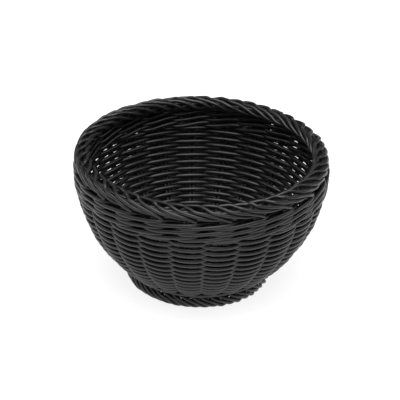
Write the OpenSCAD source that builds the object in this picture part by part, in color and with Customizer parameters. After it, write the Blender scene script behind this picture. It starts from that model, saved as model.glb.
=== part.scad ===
// Round woven fruit basket of plastic cane: a plaited rim, a waled collar,
// a randed bowl on paired stakes, and a woven base on a rolled foot.
// The part stands on Z = 0 with its axis on Z. All sizes are in millimetres.

/* [Overall] */
// Outer diameter of the rim
rim_d = 230; // [190:1:280]
// Height from the table to the top of the rim
height = 129; // [105:1:160]
// Outer diameter of the foot ring
foot_d = 132; // [110:1:150]

/* [Cane] */
// Diameter of every cane
cane_d = 3.3; // [2.6:0.1:4]
// How far the weaver swings in and out of the stake line
weave_amp = 2.55; // [2:0.05:3.2]

/* [Wall] */
// Height of one round of plain weave, measured along the wall
round_pitch = 3.4; // [3:0.1:4.4]
// Height of one round of the collar wale, measured along the wall
wale_pitch = 6; // [5:0.1:7.5]
// Length of wall that the wale above the foot covers
upsett_len = 6.4; // [5:0.1:8]
// Height of the ridge that each round raises on the wall
ridge_h = 0.9; // [0.4:0.1:1.4]

/* [Rim border] */
// Height of the plaited border
border_h = 13.2; // [10:0.1:18]
// Width of the plaited border, across the wall
border_w = 15.5; // [12:0.1:19]
// Open gap between the collar wale and the border
border_gap = 0.8; // [0.4:0.1:3]
// How far each stake runs up into the border
head_tuck = 4.5; // [3:0.1:6]

/* [Foot] */
// Height of the rolled foot
foot_h = 13; // [11:0.1:16]
// Width of the rolled foot, across the wall
foot_w = 12; // [10:0.1:15]
// How much of the roll is trimmed off level, where the basket rests
foot_trim = 0.7; // [0.4:0.1:1.5]
// Height of the stake ends above the table, inside the roll
stake_foot_z = 5.85; // [4:0.05:7]
// Height above the foot at which the stakes start to lean out
neck_rise = 2; // [1:0.1:4]

/* [Base] */
// How far the sticks run on level past the crossing before they open out
cross_lap = 1.3; // [0.5:0.1:3]
// Open space between the crossing and the first round of binding
binding_gap = 5.8; // [4:0.1:8]
// Radius at which the binding ends and the base weave starts
open_r = 30; // [26:1:34]
// How far the stick ends show past the base weave
stick_proud = 0.4; // [0:0.1:0.8]

/* [Fit] */
// Free space around a cane in the weave that holds it
channel_gap = 0.25; // [0.15:0.05:0.4]
// Free space between neighbouring pieces
piece_gap = 0.1; // [0.05:0.05:0.3]
// Free space between the foot and the wale above it
foot_gap = 0.3; // [0.1:0.05:0.6]
// Free space between the base weave and the stakes round it
base_gap = 1.15; // [0.6:0.05:2]

/* [Hidden] */

$fn = 16;
big_fn = 64;

// The stakes and sticks are nodes of their own, so these counts go with NODES.
// An odd number of stakes lets one weaver alternate from round to round.
stake_count = 23;
cross_sticks = 6;
collar_rounds = 3;
// Canes seen side by side in a section through the rim and through the foot.
rim_canes = 10;
foot_canes = 8;
// Corners of the section of a base stick.
stick_sides = 12;

stake_step = 360 / stake_count;
cane_r = cane_d / 2;
wall_t = 2 * weave_amp + cane_d;
pair_pitch = cane_d + piece_gap;
// A round of weave is never lower than the cane that it is made of.
round_h = max(round_pitch, pair_pitch);
channel_t = cane_d + 2 * channel_gap;
channel_w = 2 * cane_d + piece_gap + 2 * channel_gap;
roll_bead_d = 1.15 * cane_d;

// The stake line is one arc, upright under the border and leaning in to the foot.
wall_top_z = height - border_h - border_gap;
rim_path_r = rim_d / 2 - wall_t / 2;
foot_mid_r = foot_d / 2 - foot_w / 2;
neck_path_r = foot_mid_r;
neck_z = foot_h + neck_rise;
wall_dr = rim_path_r - neck_path_r;
wall_dz = wall_top_z - neck_z;
path_r = (wall_dr * wall_dr + wall_dz * wall_dz) / (2 * wall_dr);
arc_x = rim_path_r - path_r;
neck_a = asin(wall_dz / path_r);
deg_per_mm = 180 / (PI * path_r);

// Angles along that arc where one band of weave ends and the next starts.
band_gap_a = piece_gap * deg_per_mm;
wale_a = wale_pitch * deg_per_mm;
side_start_a = collar_rounds * wale_a;
upsett_end_a = asin((wall_top_z - foot_h - foot_gap) / (path_r + wall_t / 2));
upsett_start_a = upsett_end_a - upsett_len * deg_per_mm;
side_len = (upsett_start_a - side_start_a) / deg_per_mm;
// Two rounds of plain weave make one row, over and under each stake.
side_rows = floor(side_len / (2 * round_h));
side_row_a = (upsett_start_a - side_start_a - band_gap_a) / side_rows;
// The first length of weaver makes the lower rows, and the second the upper ones.
upper_rows = ceil(side_rows / 2);
side_mid_a = side_start_a + upper_rows * side_row_a;

// Where a stake ends, inside the border and inside the foot.
stake_top_z = wall_top_z + border_gap + head_tuck;
head_a = asin((stake_top_z - wall_top_z) / path_r);
kink_lap = cane_r * tan(neck_a / 2);
kink_a = kink_lap * deg_per_mm;

// The base lies on the foot, inside the stakes.
base_z = foot_h + piece_gap + wall_t / 2;
base_r = foot_mid_r - cane_r - base_gap;
stick_end_r = base_r + stick_proud;
cross_half = cross_sticks * pair_pitch / 2;
cross_edge = cross_half + cross_lap;
binding_r = cross_half + binding_gap;
// Turns the spokes by half a step, so that each one points at a stake.
slot_shift = -stake_step / 2;

module stakes_loop() {
  for (i = [0 : stake_count - 1]) {
    rotate([0, 0, i * stake_step]) children();
  }
}

// A bent cane whose centre line is an arc in the XZ plane.
module cane_arc(centre, radius, from_a, sweep_a) {
  translate([centre[0], 0, centre[1]])
    rotate([90, 0, 0])
      rotate([0, 0, from_a])
        rotate_extrude(angle = sweep_a, $fn = big_fn)
          translate([radius, 0]) circle(d = cane_d);
}

// One cane of a stake: a straight tail in the foot, then the arc of the bowl,
// which runs on into the border. The two lap a little where the cane kinks.
module stake_cane() {
  union() {
    translate([neck_path_r, 0, stake_foot_z])
      cylinder(d = cane_d, h = neck_z + kink_lap - stake_foot_z);
    cane_arc([arc_x, wall_top_z], path_r, -neck_a - kink_a, neck_a + kink_a + head_a);
  }
}

module stake(i) {
  color("#1c1c1d")
    rotate([0, 0, i * stake_step])
      for (side = [-1, 1]) {
        translate([0, side * pair_pitch / 2, 0]) stake_cane();
      }
}

function on_wall(a, off) = [
  arc_x + (path_r + off) * cos(a),
  wall_top_z - (path_r + off) * sin(a)
];

// One face of a band: a ridge for each round, with a valley on either side.
function ridges(a0, a1, rounds, side) = [
  for (i = [0 : 2 * rounds])
    on_wall(a0 + (a1 - a0) * i / (2 * rounds),
            side * (i % 2 == 1 ? wall_t / 2 : wall_t / 2 - ridge_h))
];

function reversed(list) = [for (i = [len(list) - 1 : -1 : 0]) list[i]];

module band_section(a0, a1, rounds) {
  polygon(concat(ridges(a0, a1, rounds, 1), reversed(ridges(a0, a1, rounds, -1))));
}

// Room for a pair of stake canes along the bowl arc.
module stake_channels() {
  stakes_loop()
    translate([arc_x, 0, wall_top_z])
      rotate([90, 0, 0])
        linear_extrude(height = channel_w, center = true)
          intersection() {
            difference() {
              circle(r = path_r + channel_t / 2, $fn = big_fn * 2);
              circle(r = path_r - channel_t / 2, $fn = big_fn * 2);
            }
            translate([base_r - wall_t - arc_x, -path_r - wall_t])
              square([path_r * 2, path_r + 2 * wall_t]);
          }
}

module band(a0, a1, rounds) {
  difference() {
    rotate_extrude($fn = big_fn) band_section(a0, a1, rounds);
    stake_channels();
  }
}

module side_weave_upper() {
  color("#2a2a2b") band(side_start_a + band_gap_a, side_mid_a, upper_rows);
}

module side_weave_lower() {
  color("#2d2d2e")
    band(side_mid_a + band_gap_a, upsett_start_a, side_rows - upper_rows);
}

module upsett_wale() {
  color("#242425") band(upsett_start_a + band_gap_a, upsett_end_a, 2);
}

module collar_wale(i) {
  color("#303031") band(i * wale_a + band_gap_a, (i + 1) * wale_a, 2);
}

// Canes laid side by side round a roll, seen in section.
module roll_section(mid, w, h, canes) {
  half_w = (w - roll_bead_d) / 2;
  half_h = (h - roll_bead_d) / 2;
  ring = [for (i = [0 : canes - 1])
    mid + [half_w * cos(i * 360 / canes), half_h * sin(i * 360 / canes)]];
  polygon(ring);
  for (p = ring) {
    translate(p) circle(d = roll_bead_d);
  }
}

module rim_border() {
  mid = [rim_d / 2 - border_w / 2, height - border_h / 2];
  color("#353536")
    difference() {
      rotate_extrude($fn = big_fn)
        roll_section(mid, border_w, border_h, rim_canes);
      stakes_loop()
        translate([rim_path_r - channel_t / 2, -channel_w / 2, wall_top_z])
          cube([channel_t, channel_w, stake_top_z - wall_top_z + channel_gap]);
    }
}

// The foot is trimmed level underneath, where the basket rests.
module foot_border() {
  mid = [foot_mid_r, (foot_h - foot_trim) / 2];
  slot_z = stake_foot_z - channel_gap;
  color("#242425")
    difference() {
      rotate_extrude($fn = big_fn)
        intersection() {
          roll_section(mid, foot_w, foot_h + foot_trim, foot_canes);
          square([foot_d, foot_h]);
        }
      stakes_loop()
        translate([neck_path_r - channel_t / 2, -channel_w / 2, slot_z])
          cube([channel_t + kink_lap, channel_w, foot_h]);
    }
}

// Plan of the base: every stick end takes one slot, and the last end is trimmed.
function slot_dir(e) =
  [cos((e - (cross_sticks - 1) / 2) * stake_step + slot_shift),
   sin((e - (cross_sticks - 1) / 2) * stake_step + slot_shift), 0];

function stick_offset(i) = (i - (cross_sticks - 1) / 2) * pair_pitch;

// The four arms are taken anticlockwise from +X, cross_sticks ends in each.
function arm_end(arm, i) =
  arm == 0 ? [cross_edge, stick_offset(i), -pair_pitch / 2] :
  arm == 1 ? [-stick_offset(i), cross_edge, pair_pitch / 2] :
  arm == 2 ? [-cross_edge, -stick_offset(i), -pair_pitch / 2] :
             [stick_offset(i), -cross_edge, pair_pitch / 2];

module along(p, q) {
  d = q - p;
  len = norm(d);
  translate(p)
    rotate([0, acos(d[2] / len), atan2(d[1], d[0])])
      children();
}

module channel_between(p, q) {
  along(p, q)
    translate([-channel_t / 2, -channel_t / 2, 0])
      cube([channel_t, channel_t, norm(q - p)]);
}

// The corners of a bent cane's section at point i of its line, square to the bend.
function cane_ring(line, i) =
  let (
    before = line[max(i - 1, 0)],
    after = line[min(i + 1, len(line) - 1)],
    ahead = (after - before) / norm(after - before),
    side = [-ahead[1], ahead[0], 0] / norm([ahead[0], ahead[1]]),
    up = cross(ahead, side)
  )
  [for (k = [0 : stick_sides - 1])
    line[i] + cane_r * (cos(k * 360 / stick_sides) * side
                        + sin(k * 360 / stick_sides) * up)];

// A cane swept along a line of points, with a flat cut at each end.
module bent_cane(line) {
  rings = [for (i = [0 : len(line) - 1]) each cane_ring(line, i)];
  last = (len(line) - 1) * stick_sides;
  walls = [for (i = [0 : len(line) - 2]) for (k = [0 : stick_sides - 1])
    [i * stick_sides + k, (i + 1) * stick_sides + k,
     (i + 1) * stick_sides + (k + 1) % stick_sides, i * stick_sides + (k + 1) % stick_sides]];
  start_cap = [for (k = [0 : stick_sides - 1]) k];
  end_cap = [for (k = [stick_sides - 1 : -1 : 0]) last + k];
  polyhedron(rings, concat(walls, [start_cap, end_cap]));
}

// One end of a stick: its bend at the cross, then its slot at the stakes.
function stick_line(arm, i) =
  let (e = arm * cross_sticks + i)
  e < stake_count ? [arm_end(arm, i), stick_end_r * slot_dir(e)] : [arm_end(arm, i)];

// A stick crosses under or over the other arm, and opens out at both ends.
module base_stick(axis, i) {
  far_line = stick_line(axis + 2, cross_sticks - 1 - i);
  color("#202021")
    translate([0, 0, base_z])
      bent_cane(concat(reversed(far_line), stick_line(axis, i)));
}

// Section of flat weave round the axis, beaded above and below.
module disc_section(r0, r1) {
  beads = floor((r1 - r0 + piece_gap) / round_h);
  step_r = (r1 - r0) / beads;
  translate([r0, -weave_amp]) square([r1 - r0, 2 * weave_amp]);
  for (i = [0 : beads - 1]) {
    for (face = [-1, 1]) {
      translate([r0 + (i + 0.5) * step_r, face * weave_amp]) circle(r = cane_r);
    }
  }
}

module stick_channels() {
  for (arm = [0 : 3]) {
    for (i = [0 : cross_sticks - 1]) {
      e = arm * cross_sticks + i;
      if (e < stake_count) {
        channel_between(arm_end(arm, i), stick_end_r * slot_dir(e));
      }
    }
  }
}

module base_ring(r0, r1) {
  color("#2a2a2b")
    translate([0, 0, base_z])
      difference() {
        rotate_extrude($fn = big_fn) disc_section(r0, r1);
        stick_channels();
      }
}

module base_binding() {
  base_ring(binding_r, open_r - piece_gap);
}

module base_weave() {
  base_ring(open_r, base_r);
}

stake(0);  // stake_01
stake(1);  // stake_02
stake(2);  // stake_03
stake(3);  // stake_04
stake(4);  // stake_05
stake(5);  // stake_06
stake(6);  // stake_07
stake(7);  // stake_08
stake(8);  // stake_09
stake(9);  // stake_10
stake(10);  // stake_11
stake(11);  // stake_12
stake(12);  // stake_13
stake(13);  // stake_14
stake(14);  // stake_15
stake(15);  // stake_16
stake(16);  // stake_17
stake(17);  // stake_18
stake(18);  // stake_19
stake(19);  // stake_20
stake(20);  // stake_21
stake(21);  // stake_22
stake(22);  // stake_23
base_stick(0, 0);  // base_stick_01
base_stick(0, 1);  // base_stick_02
base_stick(0, 2);  // base_stick_03
base_stick(0, 3);  // base_stick_04
base_stick(0, 4);  // base_stick_05
base_stick(0, 5);  // base_stick_06
base_stick(1, 0);  // base_stick_07
base_stick(1, 1);  // base_stick_08
base_stick(1, 2);  // base_stick_09
base_stick(1, 3);  // base_stick_10
base_stick(1, 4);  // base_stick_11
base_stick(1, 5);  // base_stick_12
base_binding();
base_weave();
upsett_wale();
side_weave_lower();
side_weave_upper();
collar_wale(0);  // collar_wale_1
collar_wale(1);  // collar_wale_2
collar_wale(2);  // collar_wale_3
rim_border();
foot_border();
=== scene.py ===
"""Woven fruit basket of round plastic cane, built strand by strand around the CAD frame.

Everything is in metres in the CAD frame: +Z up, the foot stands on z = 0. Every strand is a
tube swept along its own path, so the weave is real geometry inside and out.
"""

import math

import bpy
import numpy as np
from mathutils import Matrix, Vector


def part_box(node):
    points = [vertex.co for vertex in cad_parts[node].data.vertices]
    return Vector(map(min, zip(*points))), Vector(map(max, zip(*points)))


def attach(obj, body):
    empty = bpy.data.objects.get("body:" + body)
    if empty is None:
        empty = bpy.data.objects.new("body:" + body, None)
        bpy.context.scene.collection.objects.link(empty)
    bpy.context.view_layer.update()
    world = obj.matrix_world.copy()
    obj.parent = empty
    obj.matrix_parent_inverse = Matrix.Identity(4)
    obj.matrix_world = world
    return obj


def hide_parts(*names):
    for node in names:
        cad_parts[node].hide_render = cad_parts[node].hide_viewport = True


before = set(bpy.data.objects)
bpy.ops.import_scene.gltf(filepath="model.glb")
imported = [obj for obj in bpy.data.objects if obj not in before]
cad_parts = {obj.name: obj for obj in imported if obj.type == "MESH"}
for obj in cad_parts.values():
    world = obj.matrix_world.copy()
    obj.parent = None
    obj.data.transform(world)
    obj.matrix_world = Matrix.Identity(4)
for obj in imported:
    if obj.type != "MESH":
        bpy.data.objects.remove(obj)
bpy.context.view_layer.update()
MM = 0.001
RANDOM = np.random.default_rng(23)

# ---------------------------------------------------------------- sizes, from the CAD frame
RIM_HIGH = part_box("rim_border")[1]
FOOT_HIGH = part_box("foot_border")[1]
RIM_R = RIM_HIGH.x
HEIGHT = RIM_HIGH.z
FOOT_H = FOOT_HIGH.z
WALL_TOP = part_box("collar_wale_1")[1].z
BASE_LOW, BASE_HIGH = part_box("base_weave")
BASE_Z = (BASE_LOW.z + BASE_HIGH.z) / 2
BASE_R = BASE_HIGH.x
OPEN_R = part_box("base_binding")[1].x
STAKES = sum(name.startswith("stake_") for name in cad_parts)
STICKS = sum(name.startswith("base_stick_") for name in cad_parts)

CANE = 3.3 * MM
CANE_R = CANE / 2
PAIR_PITCH = CANE + 0.1 * MM
WALL_T = 8.4 * MM
BORDER_W = 15.5 * MM
FOOT_W = 12 * MM
COLLAR_ROUNDS = 3
WALE_PITCH = 6 * MM
UPSETT_LEN = 6.4 * MM
ROUND_PITCH = 3.26 * MM
# The weavers are a little fuller than the stakes, so that their rounds close up.
WEAVER_R = 2.02 * MM
WALE_R = 1.95 * MM
BASE_WEAVER_R = 1.85 * MM
# How far each weaver swings to either side of the stakes or the sticks.
SWING = 2.25 * MM
WALE_SWING = 3.0 * MM
BASE_SWING = 2.4 * MM
STEP = 2 * math.pi / STAKES
TURN = 2 * math.pi

PATH_TOP_R = RIM_R - WALL_T / 2
FOOT_MID_R = FOOT_HIGH.x - FOOT_W / 2
NECK_Z = FOOT_H + 2 * MM
WALL_DR = PATH_TOP_R - FOOT_MID_R
WALL_DZ = WALL_TOP - NECK_Z
PATH_R = (WALL_DR ** 2 + WALL_DZ ** 2) / (2 * WALL_DR)
ARC_X = PATH_TOP_R - PATH_R
NECK_S = PATH_R * math.asin(WALL_DZ / PATH_R)
UPSETT_END_S = PATH_R * math.asin((WALL_TOP - FOOT_H) / (PATH_R + WALL_T / 2))
UPSETT_START_S = UPSETT_END_S - UPSETT_LEN
COLLAR_END_S = COLLAR_ROUNDS * WALE_PITCH
SIDE_JOIN_Z = (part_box("side_weave_upper")[0].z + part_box("side_weave_lower")[1].z) / 2
SIDE_JOIN_S = PATH_R * math.asin((WALL_TOP - SIDE_JOIN_Z) / PATH_R)


def wall(s, off):
    """Radius and height of the point s along the stake line from its top, off outwards."""
    a = np.asarray(s) / PATH_R
    reach = PATH_R + np.asarray(off)
    return ARC_X + reach * np.cos(a), WALL_TOP - reach * np.sin(a)


def polar(angle, radius, height):
    return np.stack([radius * np.cos(angle), radius * np.sin(angle), height + 0 * angle], -1)


def unit(v):
    return v / np.linalg.norm(v, axis=-1, keepdims=True)


def smooth_path(keys, per_span):
    """A Catmull-Rom curve through rows of keys, as rows of points."""
    keys = np.asarray(keys, float)
    ends = np.vstack([2 * keys[0] - keys[1], keys, 2 * keys[-1] - keys[-2]])
    rows = []
    t = np.linspace(0, 1, per_span, endpoint=False)[:, None]
    for i in range(1, len(ends) - 2):
        a, b, c, d = ends[i - 1], ends[i], ends[i + 1], ends[i + 2]
        rows.append(0.5 * (2 * b + (c - a) * t + (2 * a - 5 * b + 4 * c - d) * t ** 2
                           + (3 * b - a - 3 * c + d) * t ** 3))
    return np.vstack(rows + [keys[-1:]])


def waves(count, size, low, high):
    """A smooth closed wobble: a function of angle made of a few seeded sine waves."""
    turns = RANDOM.integers(low, high, count)
    shift = RANDOM.uniform(0, TURN, count)
    gain = RANDOM.normal(0, size / math.sqrt(count), count)

    def at(angle):
        angle = np.asarray(angle)[..., None]
        return (gain * np.sin(turns * angle + shift)).sum(-1)

    return at


# ---------------------------------------------------------------- strands
class Strands:
    """Gathers swept canes into one mesh, with a map that runs round and along each cane."""

    def __init__(self):
        self.verts, self.faces, self.maps, self.count = [], [], [], 0

    def sweep(self, line, sides=12, radius=CANE_R, closed=False, outward=None):
        """Sweeps a round section along line; outward is a rough direction for its first corner."""
        line = np.asarray(line, float)
        n = len(line)
        if closed:
            ahead = unit(np.roll(line, -1, 0) - np.roll(line, 1, 0))
        else:
            ahead = unit(np.gradient(line, axis=0))
        side = carried(ahead) if outward is None else outward
        side = unit(side - (side * ahead).sum(-1, keepdims=True) * ahead)
        across = np.cross(ahead, side)
        radius = np.broadcast_to(radius, (n,))[:, None, None]
        turn = np.arange(sides) * TURN / sides
        rings = line[:, None] + radius * (np.cos(turn)[:, None] * side[:, None]
                                          + np.sin(turn)[:, None] * across[:, None])
        gaps = np.linalg.norm(np.diff(line, axis=0), axis=1)
        along = np.concatenate([[0], np.cumsum(gaps)]) / (TURN * CANE_R)
        along += RANDOM.uniform(0, 900)
        if not closed:
            rings, along = rounded_ends(rings, along, line, ahead)
            n = len(rings)
        self.add_grid(rings, along, sides, closed)
        if not closed:
            first = self.count - n * sides
            last = self.count - sides
            self.add_cap([first + k for k in range(sides)][::-1], along[0])
            self.add_cap([last + k for k in range(sides)], along[-1])

    def add_grid(self, rings, along, sides, closed):
        n = len(rings)
        i = np.arange(n if closed else n - 1)[:, None]
        k = np.arange(sides)[None, :]
        up, right = (i + 1) % n, (k + 1) % sides
        quads = np.stack([i * sides + k, i * sides + right, up * sides + right, up * sides + k], -1)
        self.faces += (quads.reshape(-1, 4) + self.count).tolist()
        ahead = np.where(up == 0, along[-1] + along[1] - along[0], along[up % n])
        around = np.broadcast_to(k / sides, quads.shape[:2])
        next_round = around + 1 / sides
        here = np.broadcast_to(along[i], quads.shape[:2])
        there = np.broadcast_to(ahead, quads.shape[:2])
        corners = [(around, here), (next_round, here), (next_round, there), (around, there)]
        self.maps.append(np.stack([np.stack(c, -1) for c in corners], -2).reshape(-1, 2))
        self.verts.append(rings.reshape(-1, 3))
        self.count += n * sides

    def add_cap(self, corners, along):
        self.faces.append(corners)
        turn = np.arange(len(corners)) * TURN / len(corners)
        flat = np.stack([0.5 + 0.15 * np.cos(turn), along + 0.15 * np.sin(turn)], -1)
        self.maps.append(flat)

    def piece(self, name, finish, nodes, slot):
        """Makes the object, gives it its finish, and lets it stand for its CAD nodes."""
        mesh = bpy.data.meshes.new(name)
        mesh.from_pydata(np.vstack(self.verts).tolist(), [], self.faces)
        layer = mesh.uv_layers.new(name="cane")
        layer.data.foreach_set("uv", np.vstack(self.maps).astype(np.float32).ravel())
        mesh.polygons.foreach_set("use_smooth", [len(f) == 4 for f in self.faces])
        mesh.materials.append(finish)
        mesh.update()
        piece = bpy.data.objects.new(name, mesh)
        bpy.context.scene.collection.objects.link(piece)
        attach(piece, "root")
        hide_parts(*nodes)


def carried(ahead):
    """A direction square to the line, carried along it without twist."""
    side = np.zeros_like(ahead)
    start = np.array([0.0, 0.0, 1.0]) if abs(ahead[0][2]) < 0.9 else np.array([1.0, 0.0, 0.0])
    side[0] = unit(start - start.dot(ahead[0]) * ahead[0])
    for i in range(1, len(ahead)):
        moved = side[i - 1] - side[i - 1].dot(ahead[i]) * ahead[i]
        side[i] = unit(moved)
    return side


def rounded_ends(rings, along, line, ahead):
    """Adds two shrinking rings at each cut end, so that the cut has a worn edge."""
    def tip(ring, centre, way):
        soft = centre + (ring - centre) * 0.9 + way * CANE_R * 0.16
        flat = centre + (ring - centre) * 0.72 + way * CANE_R * 0.22
        return soft, flat

    s1, s2 = tip(rings[0], line[0], -ahead[0])
    e1, e2 = tip(rings[-1], line[-1], ahead[-1])
    rings = np.concatenate([[s2], [s1], rings, [e1], [e2]])
    along = np.concatenate([[along[0] - 0.04, along[0] - 0.02], along,
                            [along[-1] + 0.02, along[-1] + 0.04]])
    return rings, along


# ---------------------------------------------------------------- stakes
EVEN = np.arange(STAKES) * STEP
STAKE_SHIFT = 0.025 * np.sin(EVEN) + RANDOM.normal(0, 0.003, STAKES)
STAKE_LEAN = RANDOM.normal(0, 0.006, STAKES)


def stake_angles(s):
    """The angle of every stake at the distance s down the wall: hand-set, so not quite even."""
    share = np.asarray(s)[..., None] / NECK_S - 0.5
    return EVEN + STAKE_SHIFT + STAKE_LEAN * share


def stake_phase(angle, s):
    """How many stakes the angle has passed, counted from stake 1, at the distance s."""
    rounds = np.floor(angle / TURN)
    rest = angle - rounds * TURN
    at = stake_angles(s)
    at = np.concatenate([at[:, -1:] - TURN, at, at[:, :1] + TURN], axis=1)
    index = np.arange(-1, STAKES + 1)
    low = np.clip((rest[:, None] >= at).sum(1) - 1, 0, STAKES)
    row = np.arange(len(rest))
    share = (rest - at[row, low]) / (at[row, low + 1] - at[row, low])
    return index[low] + share + rounds * STAKES


def pair_gap(radius):
    """Half the angle between the two canes of a stake."""
    return 0.5 * PAIR_PITCH / radius


def stake_line(k, side):
    """The wall part of one cane, from inside the collar down to the foot."""
    s = np.linspace(-1.5 * MM, NECK_S, 60)
    radius, height = wall(s, 0)
    bow = 0.25 * MM * np.sin(s / NECK_S * RANDOM.uniform(5, 9) + RANDOM.uniform(0, TURN))
    angle = stake_angles(s)[:, k] + side * pair_gap(radius) + bow / radius
    return polar(angle, radius, height)


def make_stakes(finish):
    for k in range(STAKES):
        pair = Strands()
        for side in (-1, 1):
            pair.sweep(stake_line(k, side), sides=12)
        node = f"stake_{k + 1:02d}"
        pair.piece(node + "_canes", finish, [node], "stake_cane")


# ---------------------------------------------------------------- bands of weave
def over_under(phase):
    """+1 outside a stake, -1 inside the next, flattened where the cane lies on the stake."""
    firmness = 1.25
    return np.tanh(firmness * np.cos(math.pi * phase)) / math.tanh(firmness)


def make_side_weave(finish):
    """Over and under, from the collar to the foot: two lengths of weaver, end to end."""
    tucked = 0.35 * ROUND_PITCH
    top_s = COLLAR_END_S - tucked
    bottom_s = UPSETT_START_S + tucked
    rounds = int((bottom_s - top_s) / ROUND_PITCH)
    pitch = (bottom_s - top_s) / rounds
    start = math.pi * 0.86
    per_stake = 11
    angle = np.linspace(0, rounds * TURN, rounds * STAKES * per_stake) + start
    s = top_s + (angle - start) / TURN * pitch
    loose = waves(9, 0.1 * MM, 3, 40)
    uneven = waves(11, 0.05 * MM, 2, 29)
    drift = waves(5, 0.35 * MM, 1, 6)
    tight = waves(7, 0.05, 5, 60)
    off = SWING * (1 + tight(angle / 3.1)) * over_under(stake_phase(angle, s)) + loose(angle / 5.3)
    slump = 0.26 * (1 - 2 * s / NECK_S)
    join = int(np.searchsorted(s, SIDE_JOIN_S))
    s = s + uneven(angle / 4.7) + drift(angle) + slump * off
    radius, height = wall(s, off)
    line = polar(angle, radius, height)
    outward = polar(angle, 1.0, 0.0)
    for place, part in (("upper", slice(None, join + 1)), ("lower", slice(join, None))):
        strand = Strands()
        strand.sweep(line[part], sides=10, radius=WEAVER_R, outward=outward[part])
        strand.piece(f"side_weaver_{place}", finish, [f"side_weave_{place}"], "weaver_cane")


def wale_ring(strands, mid_s):
    """Three rods worked as a wale: in front of two stakes, behind one, each rod in turn.

    As 23 stakes don't divide by three, the rods follow each other in one closed loop."""
    rods, per_stake = 3, 12
    firmness, outward_bias = 2.6, 0.17
    climb = 1.95 * MM
    count = rods * STAKES * per_stake
    angle = np.arange(count) / count * rods * TURN
    loose = waves(7, 0.2 * MM, 2, 25)
    phase = stake_phase(angle, np.full(count, mid_s)) / rods
    middle = 0.5 / rods
    beat = np.cos(TURN * (phase - middle))
    off = WALE_SWING * np.tanh(firmness * (beat + outward_bias)) + loose(angle / rods)
    share = (phase - middle + 0.5) % 1 - 0.5
    outside = np.sin(1.5 * math.pi * share)
    inside = np.sign(share) * np.cos(3 * math.pi * (np.abs(share) - 1 / 3))
    rise = climb * np.where(np.abs(share) < 1 / 3, outside, inside)
    s = mid_s - rise + 0.5 * loose(angle / rods + 2)
    radius, height = wall(s, off)
    line = polar(angle, radius, height)
    strands.sweep(line, sides=12, radius=WALE_R, closed=True, outward=polar(angle, 1.0, 0.0))


def make_collar(finish):
    for i in range(COLLAR_ROUNDS):
        ring = Strands()
        wale_ring(ring, (i + 0.5) * WALE_PITCH)
        ring.piece(f"collar_rods_{i + 1}", finish, [f"collar_wale_{i + 1}"], "wale_cane")


def make_upsett(finish):
    ring = Strands()
    wale_ring(ring, UPSETT_START_S + UPSETT_LEN / 2)
    ring.piece("upsett_rods", finish, ["upsett_wale"], "wale_cane")


# ---------------------------------------------------------------- rim and foot borders
HALF_STEP = STEP / 2

# Route of a cane through the rim: how many half steps round it has gone, then its
# distance outside the border's middle and above the wall, in millimetres.
RIM_ROUTE = [
    (0.6, -1.4, 2.2), (1.0, -4.0, 3.8), (1.5, -5.9, 6.6), (2.0, -6.1, 10.0), (2.6, -4.6, 12.0),
    (3.1, -3.0, 12.4), (3.35, -0.6, 12.2), (3.58, 1.9, 11.7), (3.85, 4.2, 10.9), (4.3, 5.6, 9.5),
    (4.8, 6.0, 7.6),
]
# How it ends: the first cane of a stake fills the core of the roll, the second stops outside.
RIM_TIPS = {
    -1: [(5.4, 5.7, 5.4), (6.1, 3.8, 2.9), (7.0, 2.2, 2.4), (8.4, 1.8, 5.8), (9.4, 0.0, 7.0),
         (10.6, -2.4, 6.4), (11.8, -2.6, 3.8), (13.0, -0.8, 2.4), (14.2, 2.4, 4.4),
         (15.4, 3.7, 7.6), (16.7, 2.9, 8.5), (18.2, 0.8, 8.7)],
    1: [(5.3, 6.0, 5.6), (5.7, 5.6, 3.2), (5.95, 5.0, 1.0)],
}

# Route through the foot: half steps round, then outside the roll's middle and above the table.
FOOT_ROUTE = [
    (0.9, 3.3, 10.6), (1.9, 4.3, 7.0), (2.7, 2.9, 3.4), (3.4, 0.0, 1.65),
    (4.2, -3.0, 3.2), (5.0, -4.2, 6.6), (5.7, -2.6, 9.9), (6.2, -0.6, 11.2),
]


def cane_angle(k, side, s, radius):
    return stake_angles(np.array([s]))[0, k] + side * pair_gap(radius)


def rim_line(k, side):
    """One cane's end: up out of the collar, inside, over the crest, down the outside, tucked in."""
    mid_r = RIM_R - BORDER_W / 2
    nominal = stake_angles(np.array([0.0]))[0, k] + side * HALF_STEP / 2
    start = cane_angle(k, side, 0.0, PATH_TOP_R)
    keys = [(start, PATH_TOP_R, WALL_TOP - 1.5 * MM),
            (start, PATH_TOP_R - 0.1 * MM, WALL_TOP + 0.8 * MM)]
    turns = RIM_ROUTE + RIM_TIPS[side]
    slack = RANDOM.normal(0, 0.3, (len(turns), 2))
    for (steps, out, up), (slip_r, slip_z) in zip(turns, slack):
        radius, height = mid_r + (out + slip_r) * MM, WALL_TOP + (up + slip_z) * MM
        keys.append((nominal + steps * HALF_STEP, radius, height))
    route = smooth_path(keys, 7)
    return polar(route[:, 0], route[:, 1], route[:, 2])


def make_rim(finish):
    rim = Strands()
    for k in range(STAKES):
        for side in (-1, 1):
            rim.sweep(rim_line(k, side), sides=12)
    rim.piece("rim_plait", finish, ["rim_border"], "border_cane")


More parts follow.
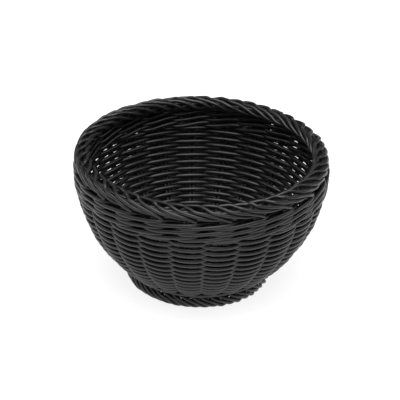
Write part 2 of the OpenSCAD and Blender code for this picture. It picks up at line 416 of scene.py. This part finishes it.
def foot_line(k, side):
    """One cane's lower end: out at the neck, down the outside, under and up inside the roll."""
    nominal = stake_angles(np.array([NECK_S]))[0, k] + side * HALF_STEP / 2
    start = cane_angle(k, side, NECK_S, FOOT_MID_R)
    top_r, top_z = wall(NECK_S - 4 * MM, 0)
    neck_r, neck_z = wall(NECK_S - 1 * MM, 0)
    keys = [(start, float(top_r), float(top_z)), (start, float(neck_r), float(neck_z))]
    slack = RANDOM.normal(0, 0.2, (len(FOOT_ROUTE), 2))
    for (steps, out, up), (slip_r, slip_z) in zip(FOOT_ROUTE, slack):
        height = max(up * MM + slip_z * MM, CANE_R)
        keys.append((nominal + steps * HALF_STEP, FOOT_MID_R + (out + slip_r) * MM, height))
    route = smooth_path(keys, 7)
    route[:, 2] = np.maximum(route[:, 2], CANE_R)
    return polar(route[:, 0], route[:, 1], route[:, 2])


def make_foot(finish):
    foot = Strands()
    for k in range(STAKES):
        for side in (-1, 1):
            foot.sweep(foot_line(k, side), sides=12)
    foot.piece("foot_roll", finish, ["foot_border"], "border_cane")


# ---------------------------------------------------------------- base
ARM_STICKS = STICKS // 2
CROSS_EDGE = ARM_STICKS * PAIR_PITCH / 2 + 1.3 * MM


def spoke_end(e):
    angle = (e - (ARM_STICKS - 1) / 2) * STEP - HALF_STEP
    return (BASE_R + 0.4 * MM) * np.array([math.cos(angle), math.sin(angle), 0])


def arm_end(arm, i):
    """Where stick i of an arm leaves the cross; the arms go anticlockwise from +X."""
    aside = (i - (ARM_STICKS - 1) / 2) * PAIR_PITCH
    low, high = -PAIR_PITCH / 2, PAIR_PITCH / 2
    ends = [(CROSS_EDGE, aside, low), (-aside, CROSS_EDGE, high),
            (-CROSS_EDGE, -aside, low), (aside, -CROSS_EDGE, high)]
    return np.array(ends[arm])


def spoke(arm, i):
    """Points of one end of a stick from the cross to the stakes; the last end is trimmed."""
    e = arm * ARM_STICKS + i
    return [arm_end(arm, i), spoke_end(e)] if e < STAKES else [arm_end(arm, i)]


def make_base_sticks(finish):
    for arm in (0, 1):
        for i in range(ARM_STICKS):
            far = spoke(arm + 2, ARM_STICKS - 1 - i)[::-1]
            near = spoke(arm, i)
            keys = eased(far + near)
            stick = Strands()
            stick.sweep(np.array(keys) + [0, 0, BASE_Z], sides=12)
            node = f"base_stick_{arm * ARM_STICKS + i + 1:02d}"
            stick.piece(node + "_cane", finish, [node], "base_cane")


def eased(points):
    """Rounds each corner of a broken line over a few millimetres."""
    reach = 5 * MM
    line = [points[0]]
    for before, corner, after in zip(points, points[1:], points[2:]):
        come, leave = unit(corner - before), unit(after - corner)
        for t in np.linspace(0, 1, 7):
            a, b = corner - come * reach * (1 - t), corner + leave * reach * t
            line.append(a + (b - a) * t)
    line.append(points[-1])
    dense = []
    for a, b in zip(line, line[1:]):
        parts = max(1, int(np.linalg.norm(b - a) / (4 * MM)))
        dense += [a + (b - a) * j / parts for j in range(parts)]
    return dense + [line[-1]]


def spoke_angles(radius):
    """The angle of every spoke where it crosses a circle of this radius."""
    angles = []
    for arm in range(4):
        for i in range(ARM_STICKS):
            points = spoke(arm, i)
            if len(points) == 2:
                a, b = points[0][:2], points[1][:2]
                way = b - a
                near = a.dot(way) / way.dot(way)
                t = -near + math.sqrt(max(near ** 2 - (a.dot(a) - radius ** 2) / way.dot(way), 0))
                hit = a + way * t
                angles.append(math.atan2(hit[1], hit[0]))
    return np.unwrap(np.array(angles))


def base_spiral(r0, r1, start):
    """A weaver that works over and under the spokes from r0 out to r1, in whole rounds."""
    rounds = int(round((r1 - r0) / ROUND_PITCH))
    per_spoke = 12
    angle = np.linspace(0, rounds * TURN, rounds * STAKES * per_spoke) + start
    radius = r0 + (r1 - r0) * (angle - start) / (rounds * TURN)
    table_r = np.linspace(r0, r1, 24)
    table = np.array([spoke_angles(r) for r in table_r])
    at = np.stack([np.interp(radius, table_r, table[:, j]) for j in range(STAKES)], 1)
    turns = np.floor((angle - at[:, 0]) / TURN)
    rest = angle - turns * TURN
    at = np.concatenate([at, at[:, :1] + TURN], axis=1)
    low = np.clip((rest[:, None] >= at).sum(1) - 1, 0, STAKES - 1)
    row = np.arange(len(rest))
    phase = low + (rest - at[row, low]) / (at[row, low + 1] - at[row, low]) + turns * STAKES
    uneven = waves(7, 0.12 * MM, 3, 30)
    height = BASE_Z + BASE_SWING * over_under(phase)
    return polar(angle, radius + uneven(angle / 3.7), height)


def make_base_weave(finish):
    inner_r, start = 15.4 * MM, 0.4
    binder = Strands()
    binder.sweep(base_spiral(inner_r, OPEN_R, start), sides=10, radius=BASE_WEAVER_R)
    binder.piece("base_binder", finish, ["base_binding"], "base_cane")
    weaver = Strands()
    weaver.sweep(base_spiral(OPEN_R, BASE_R - CANE_R, start), sides=10, radius=BASE_WEAVER_R)
    weaver.piece("base_weaver", finish, ["base_weave"], "base_cane")


# ---------------------------------------------------------------- finishes
def plastic_cane(name, tone, rough):
    """Black extruded cane: lengthwise grain, uneven gloss, and paler and darker patches at random.
    """
    finish = bpy.data.materials.new(name)
    finish.use_nodes = True
    tree = finish.node_tree
    nodes, links = tree.nodes, tree.links
    shader = nodes["Principled BSDF"]

    def node(kind, **values):
        made = nodes.new(kind)
        for key, value in values.items():
            if hasattr(made, key):
                setattr(made, key, value)
            else:
                made.inputs[key.replace("_", " ")].default_value = value
        return made

    uv = node("ShaderNodeUVMap", uv_map="cane")
    stretch = node("ShaderNodeMapping")
    stretch.inputs["Scale"].default_value = (26, 0.7, 1)
    links.new(uv.outputs["UV"], stretch.inputs["Vector"])
    grain = node("ShaderNodeTexNoise", Scale=1.0, Detail=4.0, Roughness=0.6)
    links.new(stretch.outputs["Vector"], grain.inputs["Vector"])

    place = node("ShaderNodeTexCoord")
    patches = node("ShaderNodeTexNoise", Scale=38.0, Detail=3.0, Roughness=0.55)
    links.new(place.outputs["Object"], patches.inputs["Vector"])
    dust = node("ShaderNodeTexNoise", Scale=900.0, Detail=2.0, Roughness=0.6)
    links.new(place.outputs["Object"], dust.inputs["Vector"])

    ramp = node("ShaderNodeValToRGB")
    dark, mid, pale = (tone * f for f in (0.62, 1.0, 1.7))
    ramp.color_ramp.elements[0].position = 0.3
    ramp.color_ramp.elements[0].color = (dark, dark, dark * 1.04, 1)
    ramp.color_ramp.elements[1].position = 0.72
    ramp.color_ramp.elements[1].color = (pale, pale, pale * 1.02, 1)
    middle = ramp.color_ramp.elements.new(0.5)
    middle.color = (mid, mid, mid * 1.03, 1)
    blend = node("ShaderNodeMix", data_type="FLOAT")
    blend.inputs[0].default_value = 0.55
    links.new(grain.outputs["Fac"], blend.inputs[2])
    links.new(patches.outputs["Fac"], blend.inputs[3])
    links.new(blend.outputs[0], ramp.inputs["Fac"])
    links.new(ramp.outputs["Color"], shader.inputs["Base Color"])

    gloss = node("ShaderNodeMapRange")
    gloss.inputs["To Min"].default_value = rough - 0.09
    gloss.inputs["To Max"].default_value = rough + 0.13
    links.new(blend.outputs[0], gloss.inputs["Value"])
    links.new(gloss.outputs["Result"], shader.inputs["Roughness"])

    lines = node("ShaderNodeBump", Strength=0.28, Distance=0.00018)
    links.new(grain.outputs["Fac"], lines.inputs["Height"])
    specks = node("ShaderNodeBump", Strength=0.12, Distance=0.00006)
    links.new(dust.outputs["Fac"], specks.inputs["Height"])
    links.new(lines.outputs["Normal"], specks.inputs["Normal"])
    links.new(specks.outputs["Normal"], shader.inputs["Normal"])
    shader.inputs["IOR"].default_value = 1.5
    return finish


# ---------------------------------------------------------------- studio
def make_camera():
    """A long lens from the front, looking down at the rim, tipped a little to one side."""
    lens_mm = 215.892
    tall, roll = math.radians(27.5), math.radians(1.8)
    reach = 18.74 * RIM_R
    # The lens aims this far beside and below the middle of the rim, measured across the view.
    aside, below = 1.707 * MM, 45.19 * MM
    rim_mid = Vector((0, 0, HEIGHT))
    place = rim_mid + reach * Vector((0, -math.cos(tall), math.sin(tall)))
    ahead = (rim_mid - place).normalized()
    level = Vector((1, 0, 0))
    up = level.cross(ahead)
    right = math.cos(roll) * level + math.sin(roll) * up
    up = right.cross(ahead)
    aim = (reach * ahead - aside * right - below * up).normalized()
    right = (right - right.dot(aim) * aim).normalized()
    up = right.cross(aim)
    turn = Matrix((right, up, -aim)).transposed().to_4x4()
    data = bpy.data.cameras.new("camera")
    data.sensor_width = 36
    data.lens = lens_mm
    data.clip_end = 20
    camera = bpy.data.objects.new("camera", data)
    bpy.context.scene.collection.objects.link(camera)
    camera.matrix_world = Matrix.Translation(place) @ turn
    bpy.context.scene.camera = camera


def make_light(name, place, size, watts):
    data = bpy.data.lights.new(name, "AREA")
    data.shape = "DISK"
    data.size = size
    data.energy = watts
    light = bpy.data.objects.new(name, data)
    bpy.context.scene.collection.objects.link(light)
    light.location = place
    to_basket = Vector((0, 0, HEIGHT / 2)) - Vector(place)
    light.rotation_euler = to_basket.to_track_quat("-Z", "Y").to_euler()


def make_studio():
    world = bpy.data.worlds.new("studio")
    bpy.context.scene.world = world
    world.use_nodes = True
    world.node_tree.nodes["Background"].inputs["Color"].default_value = (1, 1, 1, 1)
    world.node_tree.nodes["Background"].inputs["Strength"].default_value = 0.16
    make_light("top", (0.0, -0.35, 2.6), 2.6, 82)
    make_light("left", (-1.5, 0.2, 1.3), 0.7, 4)
    make_light("right", (1.5, 0.2, 1.3), 0.7, 4)
    make_light("front", (0.1, -1.7, 1.7), 0.9, 6)

    mesh = bpy.data.meshes.new("floor")
    half = 6.0
    corners = [(-half, -half, 0), (half, -half, 0), (half, half, 0), (-half, half, 0)]
    mesh.from_pydata(corners, [], [(0, 1, 2, 3)])
    paper = bpy.data.materials.new("paper")
    paper.use_nodes = True
    shader = paper.node_tree.nodes["Principled BSDF"]
    shader.inputs["Base Color"].default_value = (0.3, 0.3, 0.3, 1)
    shader.inputs["Roughness"].default_value = 0.9
    shader.inputs["Emission Color"].default_value = (1, 1, 1, 1)
    shader.inputs["Emission Strength"].default_value = 0.85
    mesh.materials.append(paper)
    floor = bpy.data.objects.new("floor", mesh)
    bpy.context.scene.collection.objects.link(floor)
    bpy.context.scene.view_settings.view_transform = "Standard"


# ---------------------------------------------------------------- build
make_camera()
make_studio()
# The stakes get a darker tone than the weavers, though they are the same plastic: painted shade for
# the shadow they lie in between the rounds.
stake_painted_shade_finish = plastic_cane("stake_cane", 0.003, 0.5)
weaver_finish = plastic_cane("weaver_cane", 0.006, 0.36)
wale_finish = plastic_cane("wale_cane", 0.006, 0.36)
# The borders get a lighter tone than the weavers, though they are the same plastic: a painted
# highlight for the light on the rim roll, which faces the top lamp; the foot roll shares it.
border_painted_highlight_finish = plastic_cane("border_cane", 0.011, 0.33)
base_finish = plastic_cane("base_cane", 0.005, 0.42)
make_stakes(stake_painted_shade_finish)
make_side_weave(weaver_finish)
make_collar(wale_finish)
make_upsett(wale_finish)
make_rim(border_painted_highlight_finish)
make_foot(border_painted_highlight_finish)
make_base_sticks(base_finish)
make_base_weave(base_finish)
